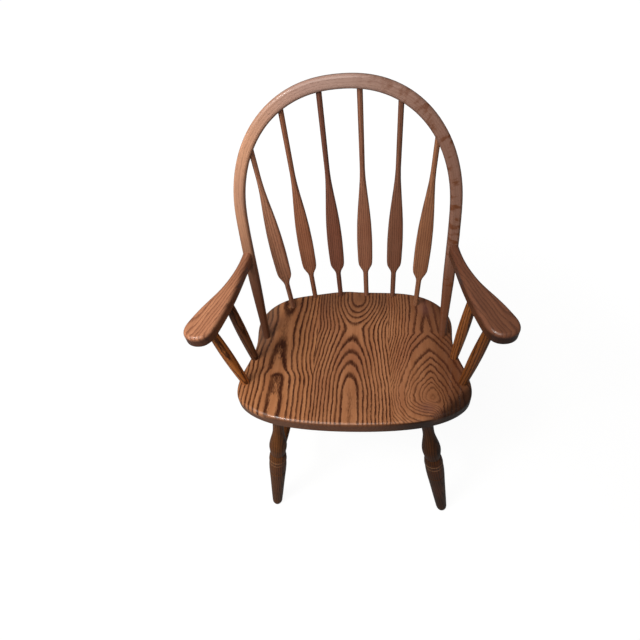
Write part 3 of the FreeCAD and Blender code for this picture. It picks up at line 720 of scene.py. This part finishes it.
def bowOak():
    material, shader, place = newMaterial("bow_oak")
    c, s = math.cos(chair["bowLean"]), math.sin(chair["bowLean"])
    x = place.along((1.0, 0.0, 0.0))
    rise = place.along((0.0, s, c)) - (chair["bowFootY"] * s + chair["seatHeight"] * c)
    forward = place.along((0.0, -c, s)) + (chair["bowFootY"] * c - chair["seatHeight"] * s)
    spring, power = bowShape["spring"], bowShape["power"]
    v = (rise - spring).larger(0.0)
    sideways, upwards = x.size() / bowShape["halfWidth"], v / bowShape["rise"]
    g = (sideways.power(power) + upwards.power(power)).power(1 / power)
    across = (x * x + v * v).root() * (1.0 / g - 1.0)
    angle = v.math("ARCTAN2", v, x.size())
    fromCrown = spring - rise.smaller(spring) + (math.pi / 2 - angle) * bowGrain["middleRadius"]
    along = x.math("SIGN", x) * fromCrown
    heartIn, heartForward = bowGrain["heart"]
    wave = along.wave(across, along, forward, bowGrain["wave"], bowGrain["waveHeight"])
    dx = across - heartIn + along * bowGrain["slope"]
    dy = forward - heartForward
    rings = ((dx * dx + dy * dy).root() + wave) / bowGrain["spacing"]

    curlWide, curlSlant, curlLong = bowStainAndLight["curl"]
    curls = along.noise(across / curlWide + along / curlSlant, along / curlLong, forward / curlSlant, 2.0)
    curls = curls.step(*bowStainAndLight["curlSeen"]) * x.step(*bowStainAndLight["curlFrom"]) * bowStainAndLight["curlShare"]
    # painted shade over the right shoulder, with the wood's dark curls, and the darker legs below
    shoulder = x.step(*bowStainAndLight["shoulder"]) * bowStainAndLight["shoulderShare"] + curls
    paintedShadeAndStain = (1.0 - rise.step(*bowStainAndLight["lowUpTo"])).larger(shoulder) * bowStainAndLight["share"]
    # painted light on the left, a greyer painted reflection over the top
    sheenGrey = x.step(*bowStainAndLight["sheenGreyFrom"])
    pale, middle = (sheenGrey.blend(paintedLit, cool) for paintedLit, cool in zip(bowStainAndLight["paintedLit"], bowStainAndLight["sheenGrey"]))
    tone = x.step(*bowStainAndLight["rightFrom"]).blend(bowStainAndLight["low"], bowStainAndLight["right"])
    look = dict(bowLook, pale=pale, middle=middle, stainAndPaintedLight=paintedShadeAndStain, stainAndPaintedLightTone=tone)
    oakFinish(shader, rings, along, across, forward, look)
    return material


dress(cadNodes["bow"], bowOak())

# Arms, in mm: the grain runs from the bow out to the nose, turned from the chair's middle line
armGrain = {
    "turn": math.radians(17.0), "middleX": 250.0,
    "depth": 34.0, "depthSlope": 0.13, "heart": -4.0,
    "wave": (18.0, 45.0), "waveHeight": 9.0, "spacing": 6.5,
    "apart": 54.0,                    # so that the two arms' grain isn't the same
}
armStainAndShade = {
    # painted shade on the arms' sides below the top, deeper at the nose; the neck darker towards the bow
    "rimUpTo": (16.0, 24.5), "rimShare": 0.7, "noseShare": 0.2, "nose": (-205.0, -150.0),
    "neckFrom": (-110.0, 10.0), "neckShare": 0.35,
}
armLook = {"lineWidth": 0.3, "coat": 0.5}
# the left arm in lighter tones and the right in darker: painted light and shade, as the light falls from the
# left; the rim tones are painted shade
armLooks = {
    "left": dict(armLook, pale=stain(194, 134, 99), middle=stain(160, 105, 76), dark=stain(108, 64, 44),
                 cloud=stain(146, 96, 80), lineDepth=0.6, rim=stain(66, 36, 23), neck=stain(100, 58, 44)),
    "right": dict(armLook, pale=stain(122, 78, 56), middle=stain(100, 62, 45), dark=stain(64, 38, 28),
                  cloud=stain(86, 56, 48), cloudShare=0.7, lineDepth=0.4, rim=stain(26, 13, 8),
                  neck=stain(96, 54, 38)),
}


def armOak(name, side, look):
    material, shader, place = newMaterial("arm_%s_oak" % name)
    outward = place.along((1000.0 * side, 0.0, 0.0)) - armGrain["middleX"]
    y = place.along((0.0, 1000.0, 0.0)) - 1000.0 * chair["bowFootY"]
    z = place.along((0.0, 0.0, 1000.0)) - 1000.0 * chair["armUnderside"]
    c, s = math.cos(armGrain["turn"]), math.sin(armGrain["turn"])
    along = y * c - outward * s
    across = outward * c + y * s
    depth = armGrain["depth"] + armGrain["depthSlope"] * along - z
    wave = along.wave(across, along, side * armGrain["apart"], armGrain["wave"], armGrain["waveHeight"])
    dx = across - armGrain["heart"] + wave
    rings = (dx * dx + depth * depth).root() / armGrain["spacing"]
    nose = 1.0 - y.step(*armStainAndShade["nose"])
    # painted shade on the sides below the top
    rim = (1.0 - z.step(*armStainAndShade["rimUpTo"])) * (armStainAndShade["rimShare"] + armStainAndShade["noseShare"] * nose)
    neck = y.step(*armStainAndShade["neckFrom"]) * armStainAndShade["neckShare"]
    look = dict(look, stainAndPaintedLight=rim.larger(neck), stainAndPaintedLightTone=rim.blend(look["neck"], look["rim"]))
    oakFinish(shader, rings, along * 0.001, across * 0.001, z * 0.001, look)
    return material


for name, side in (("left", -1), ("right", 1)):
    dress(cadNodes["arm_" + name], armOak(name, side, armLooks[name]))

# Screws of zinc-plated steel, and the oak plugs over them
steelLook = {
    "dull": stain(150, 152, 158), "bright": stain(188, 190, 194),
    "grit": 0.0015, "gloss": 0.28, "glossMore": 0.2, "relief": 0.0001,
}
plugGrain = {"heart": (0.02, 0.03), "slope": (0.0, 0.0), "spacing": 0.003}
plugPlace = (-0.222, 0.233)
plugLength = 0.01


def steel():
    look = steelLook
    material, shader, place = newMaterial("zinc_steel")
    x, y, z = (place.along(axis) / look["grit"] for axis in ((1, 0, 0), (0, 1, 0), (0, 0, 1)))
    mottled = x.noise(x, y, z, 3.0)
    rough = look["gloss"] + mottled * look["glossMore"]
    bump = mottled.node("ShaderNodeBump", {}, {"Height": mottled, "Distance": look["relief"]})
    plug(shader, mottled.blend(look["dull"], look["bright"]), rough, bump)
    shader.inputs["Metallic"].default_value = 1.0
    return material


dress(cadNodes["arm_screws"], steel())
dress(cadNodes["arm_screw_plugs"],
      stickOak("plug_oak", onBow(*plugPlace, -plugLength), onBow(*plugPlace), plugGrain, {}))
print("bow, arms and screws dressed")

# A white paper floor under soft light, so that only the chair's shadow shows on it
studio = {
    "floorSize": 20.0,
    "floorShade": 0.12,
    "floorGlow": 0.92,
    "glowFadesFrom": (0.7, 2.2),      # away from the chair the paper is plain white
    "sky": 0.17,
    "mirrored": 0.07,                 # how much of the white shines back from the lacquer
}
lamps = {
    "key": {"place": (-0.7, -1.0, 1.9), "size": 1.9, "power": 34.5, "colour": (1.0, 0.97, 0.93)},
    # a small lamp for the thin bright lines along the edges
    "glint": {"place": (-0.8, -0.75, 1.8), "size": 0.3, "power": 8.0, "colour": (1.0, 0.98, 0.96)},
    # one that lights the back, but would mirror in the seat's rear
    "back": {"place": (0.8, 1.9, 1.5), "size": 1.6, "power": 9.0, "colour": (1.0, 1.0, 1.0),
             "mirrors": False},
}
lampAim = (0.0, 0.0, 0.45)
white = (1.0, 1.0, 1.0, 1.0)


def seenWhite(rays):
    # 1 where the camera looks, and through glass; less in a mirror, so dark oak stays dark
    clear = rays.larger(rays.other("Is Transmission Ray"))
    return clear.larger(rays.other("Is Glossy Ray") * studio["mirrored"])


def cameraRays(tree):
    return Wire(tree, tree.nodes.new("ShaderNodeLightPath").outputs["Is Camera Ray"])


def layFloor():
    far = studio["floorSize"]
    mesh = bpy.data.meshes.new("studio_floor")
    mesh.from_pydata([(-far, -far, 0), (far, -far, 0), (far, far, 0), (-far, far, 0)], [], [(0, 1, 2, 3)])
    floor = bpy.data.objects.new("studio_floor", mesh)
    bpy.context.scene.collection.objects.link(floor)
    material = bpy.data.materials.new("studio_paper")
    material.use_nodes = True
    tree = material.node_tree
    paper = tree.nodes["Principled BSDF"]
    paper.inputs["Base Color"].default_value = (studio["floorShade"],) * 3 + (1.0,)
    paper.inputs["Roughness"].default_value = 0.9
    paper.inputs["Specular IOR Level"].default_value = 0.0
    paper.inputs["Emission Color"].default_value = white
    place = Wire(tree, tree.nodes.new("ShaderNodeTexCoord").outputs["Object"])
    away = place.node("ShaderNodeVectorMath", {"operation": "LENGTH"}, {0: place}, "Value")
    bright = studio["floorGlow"] + (1.0 - studio["floorGlow"]) * away.step(*studio["glowFadesFrom"])
    glow = seenWhite(cameraRays(tree)) * bright
    tree.links.new(glow.socket, paper.inputs["Emission Strength"])
    mesh.materials.append(material)
    return floor


def hangSky():
    world = bpy.data.worlds.new("studio")
    bpy.context.scene.world = world
    world.use_nodes = True
    tree = world.node_tree
    background = tree.nodes["Background"]
    rays = cameraRays(tree)
    softSky = (1.0 - rays.other("Is Glossy Ray")) * studio["sky"]
    tree.links.new(softSky.larger(seenWhite(rays)).socket, background.inputs["Strength"])
    background.inputs["Color"].default_value = white


def softLight(name, place, size, power, colour, mirrors=True):
    lamp = bpy.data.lights.new(name, "AREA")
    lamp.size = size
    lamp.energy = power
    lamp.color = colour
    holder = bpy.data.objects.new(name, lamp)
    bpy.context.scene.collection.objects.link(holder)
    holder.location = place
    holder.rotation_euler = (Vector(lampAim) - Vector(place)).to_track_quat("-Z", "Y").to_euler()
    holder.visible_glossy = mirrors


layFloor()
hangSky()
for name, lamp in lamps.items():
    softLight(name, **lamp)

# The camera stands where the photo was taken from: high, a little to the sitter's left of centre
view = {
    "place": (0.053716, -0.638731, 1.253165),
    "yaw": math.radians(10.6876), "down": math.radians(47.9177), "roll": math.radians(-8.8951),
    "lens": 23.947, "sensor": 36.0,
    "shiftX": -0.00061, "shiftY": 0.00078,
    "nearest": 0.02,
}


def setCamera():
    camera = bpy.data.objects.new("camera", bpy.data.cameras.new("camera"))
    bpy.context.scene.collection.objects.link(camera)
    yaw, down, roll = view["yaw"], view["down"], view["roll"]
    ahead = Vector((-math.sin(yaw) * math.cos(down), math.cos(yaw) * math.cos(down), -math.sin(down)))
    level = Vector((math.cos(yaw), math.sin(yaw), 0.0))
    upright = level.cross(ahead)
    right = math.cos(roll) * level + math.sin(roll) * upright
    up = -math.sin(roll) * level + math.cos(roll) * upright
    turn = Matrix((right, up, -ahead)).transposed().to_4x4()
    camera.matrix_world = Matrix.Translation(view["place"]) @ turn
    camera.data.sensor_width = view["sensor"]
    camera.data.sensor_fit = "AUTO"
    camera.data.lens = view["lens"]
    camera.data.shift_x = view["shiftX"]
    camera.data.shift_y = view["shiftY"]
    camera.data.clip_start = view["nearest"]
    bpy.context.scene.camera = camera


setCamera()
bpy.context.scene.view_settings.view_transform = "Standard"
print("studio set")
